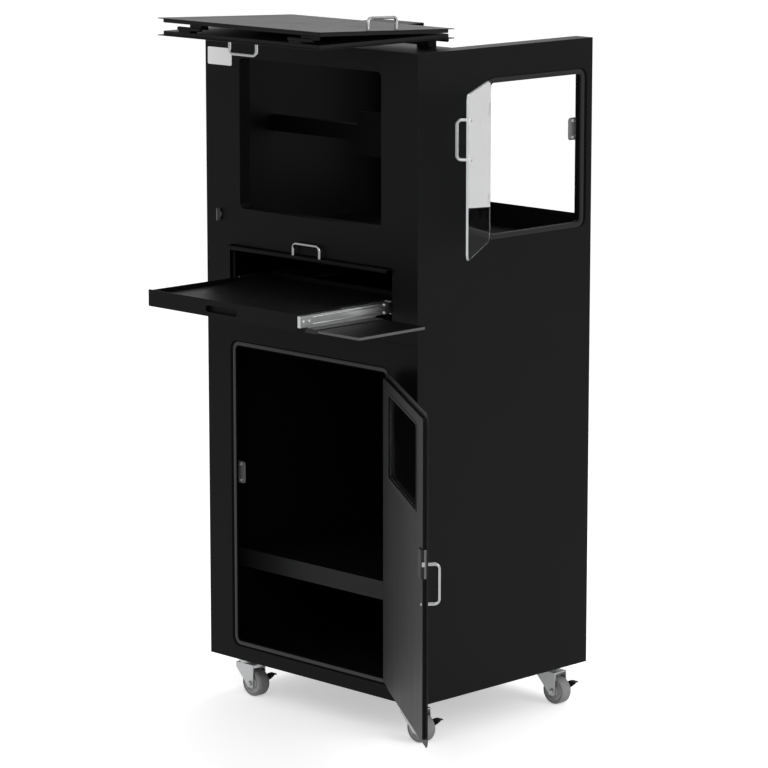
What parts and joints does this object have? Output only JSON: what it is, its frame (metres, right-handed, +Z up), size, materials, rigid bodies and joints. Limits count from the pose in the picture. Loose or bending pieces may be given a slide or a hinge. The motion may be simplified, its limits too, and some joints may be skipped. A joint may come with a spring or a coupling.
{
  "type": "computer enclosure cabinet",
  "caption": "Black sheet-metal computer enclosure on casters, with a monitor opening, pull-out keyboard tray, mouse board, clear side door, windowed lower door and folding roof hatch.",
  "frame": {"origin": "centre of the base pan's underside", "axes": "+Z up, front (monitor and lower door) faces -Y, +X to the right seen from the front"},
  "size_m": [1.2087, 1.037, 1.9501],
  "materials": {
    "black_sheet": "fine-texture black powder coat",
    "edge_rubber": "matte grey edge trim",
    "black_hinge": "satin black",
    "zinc": "bright zinc plate",
    "clear_pane": "clear acrylic",
    "bright_rod": "polished",
    "black_plastic": "matte black",
    "board_laminate": "black laminate with light grey edging",
    "grey_tyre": "grey non-marking tread"
  },
  "bodies": {
    "cabinet": {"base_pan": "black_sheet", "lower_front_panel": "black_sheet", "lower_left_side": "black_sheet", "lower_right_side": "black_sheet", "lower_back_panel": "black_sheet", "lower_deck": "black_sheet", "lower_edge_trim": "edge_rubber", "printer_shelf": "black_sheet", "upper_front_panel": "black_sheet", "upper_left_side": "black_sheet", "upper_right_side": "black_sheet", "upper_back_panel": "black_sheet", "roof_panel": "black_sheet", "printer_deck": "black_sheet", "keyboard_bay_floor": "black_sheet", "monitor_shroud": "black_sheet", "side_edge_trim": "edge_rubber", "monitor_rail": "black_sheet", "monitor_mount_plate": "black_sheet", "hinge_leaves": "black_hinge", "door_strikes": "zinc", "slide_channels": "zinc", "flap_tracks": "black_sheet", "caster_plates": "zinc"},
    "lower_door": {"lower_door_panel": "black_sheet", "lower_door_window": "clear_pane", "lower_door_handle": "bright_rod", "lower_door_catch": "black_plastic", "lower_hinge_straps": "black_hinge"},
    "side_door": {"side_door_pane": "clear_pane", "side_door_handle": "bright_rod", "side_hinge_straps": "black_hinge"},
    "roof_leaf": {"roof_leaf_panel": "black_sheet", "roof_leaf_handle": "bright_rod", "roof_hinge_straps": "black_hinge", "fold_hinge_lower": "black_hinge"},
    "rear_leaf": {"rear_leaf_panel": "black_sheet", "rear_leaf_handle": "bright_rod", "fold_hinge_upper": "black_hinge"},
    "slide_middle": {"tray_slide_middles": "zinc"},
    "tray": {"keyboard_tray": "black_sheet", "tray_slide_inners": "zinc"},
    "mouse_slide": {"mouse_carriage": "zinc"},
    "mouse_shelf": {"mouse_board": "board_laminate"},
    "flap_slider": {"flap_carriage": "zinc"},
    "flap": {"flap_panel": "black_sheet", "flap_handle": "bright_rod"},
    "front_latch": {"front_latch": "zinc"},
    "front_left_swivel": {"front_left_fork": "zinc"},
    "front_left_roller": {"front_left_wheel": "grey_tyre"},
    "front_left_brake": {"front_left_pedal": "black_plastic"},
    "front_right_swivel": {"front_right_fork": "zinc"},
    "front_right_roller": {"front_right_wheel": "grey_tyre"},
    "front_right_brake": {"front_right_pedal": "black_plastic"},
    "rear_left_swivel": {"rear_left_fork": "zinc"},
    "rear_left_roller": {"rear_left_wheel": "grey_tyre"},
    "rear_left_brake": {"rear_left_pedal": "black_plastic"},
    "rear_right_swivel": {"rear_right_fork": "zinc"},
    "rear_right_roller": {"rear_right_wheel": "grey_tyre"},
    "rear_right_brake": {"rear_right_pedal": "black_plastic"}
  },
  "joints": [
    {"name": "lower_door_hinge", "type": "hinge", "parent": "cabinet", "child": "lower_door", "pos_m": [0.306, -0.344, 0.472], "axis": [0, 0, 1], "range_deg": [-145, 24]},
    {"name": "side_door_hinge", "type": "hinge", "parent": "cabinet", "child": "side_door", "pos_m": [0.415, -0.081, 1.434], "axis": [0, 0, -1], "range_deg": [-145, 23]},
    {"name": "roof_leaf_hinge", "type": "hinge", "parent": "cabinet", "child": "roof_leaf", "pos_m": [0.067, -0.161, 1.753], "axis": [-1, 0, 0], "range_deg": [0, 180]},
    {"name": "rear_leaf_hinge", "type": "hinge", "parent": "roof_leaf", "child": "rear_leaf", "pos_m": [0.067, -0.648, 1.783], "axis": [1, 0, 0], "range_deg": [0, 92.4]},
    {"name": "slide_middle_travel", "type": "slide", "parent": "cabinet", "child": "slide_middle", "axis": [0, 1, 0], "range_m": [0, 0.159]},
    {"name": "tray_travel", "type": "slide", "parent": "cabinet", "child": "tray", "axis": [0, 1, 0], "range_m": [0, 0.318]},
    {"name": "mouse_slide_travel", "type": "slide", "parent": "cabinet", "child": "mouse_slide", "axis": [0, 1, 0], "range_m": [0, 0.045]},
    {"name": "mouse_shelf_travel", "type": "slide", "parent": "mouse_slide", "child": "mouse_shelf", "axis": [-1, 0, 0], "range_m": [0, 0.18]},
    {"name": "flap_travel", "type": "slide", "parent": "cabinet", "child": "flap_slider", "axis": [0, -1, 0], "range_m": [0, 0.055]},
    {"name": "flap_hinge", "type": "hinge", "parent": "flap_slider", "child": "flap", "pos_m": [0, -0.277, 1.158], "axis": [1, 0, 0], "range_deg": [0, 90]},
    {"name": "front_latch_turn", "type": "hinge", "parent": "cabinet", "child": "front_latch", "pos_m": [-0.354, -0.335, 1.244], "axis": [0, 1, 0], "range_deg": [0, 90]},
    {"name": "front_left_swivel_turn", "type": "hinge", "parent": "cabinet", "child": "front_left_swivel", "pos_m": [-0.3245, -0.269, -0.026], "axis": [0, 0, 1], "continuous": true},
    {"name": "front_left_roller_spin", "type": "hinge", "parent": "front_left_swivel", "child": "front_left_roller", "pos_m": [-0.2915, -0.269, -0.0785], "axis": [0, 1, 0], "continuous": true},
    {"name": "front_left_brake_press", "type": "hinge", "parent": "front_left_swivel", "child": "front_left_brake", "pos_m": [-0.2915, -0.269, -0.0785], "axis": [0, 1, 0], "range_deg": [0, 18]},
    {"name": "front_right_swivel_turn", "type": "hinge", "parent": "cabinet", "child": "front_right_swivel", "pos_m": [0.3245, -0.269, -0.026], "axis": [0, 0, 1], "continuous": true},
    {"name": "front_right_roller_spin", "type": "hinge", "parent": "front_right_swivel", "child": "front_right_roller", "pos_m": [0.3575, -0.269, -0.0785], "axis": [0, 1, 0], "continuous": true},
    {"name": "front_right_brake_press", "type": "hinge", "parent": "front_right_swivel", "child": "front_right_brake", "pos_m": [0.3575, -0.269, -0.0785], "axis": [0, 1, 0], "range_deg": [0, 18]},
    {"name": "rear_left_swivel_turn", "type": "hinge", "parent": "cabinet", "child": "rear_left_swivel", "pos_m": [-0.3245, 0.269, -0.026], "axis": [0, 0, 1], "continuous": true},
    {"name": "rear_left_roller_spin", "type": "hinge", "parent": "rear_left_swivel", "child": "rear_left_roller", "pos_m": [-0.2915, 0.269, -0.0785], "axis": [0, 1, 0], "continuous": true},
    {"name": "rear_left_brake_press", "type": "hinge", "parent": "rear_left_swivel", "child": "rear_left_brake", "pos_m": [-0.2915, 0.269, -0.0785], "axis": [0, 1, 0], "range_deg": [0, 18]},
    {"name": "rear_right_swivel_turn", "type": "hinge", "parent": "cabinet", "child": "rear_right_swivel", "pos_m": [0.3245, 0.269, -0.026], "axis": [0, 0, 1], "continuous": true},
    {"name": "rear_right_roller_spin", "type": "hinge", "parent": "rear_right_swivel", "child": "rear_right_roller", "pos_m": [0.3575, 0.269, -0.0785], "axis": [0, 1, 0], "continuous": true},
    {"name": "rear_right_brake_press", "type": "hinge", "parent": "rear_right_swivel", "child": "rear_right_brake", "pos_m": [0.3575, 0.269, -0.0785], "axis": [0, 1, 0], "range_deg": [0, 18]}
  ],
  "couplings": [
    {"joint": "rear_leaf_hinge", "follows": "roof_leaf_hinge", "ratio": 0.51333},
    {"joint": "slide_middle_travel", "follows": "tray_travel", "ratio": 0.5}
  ]
}
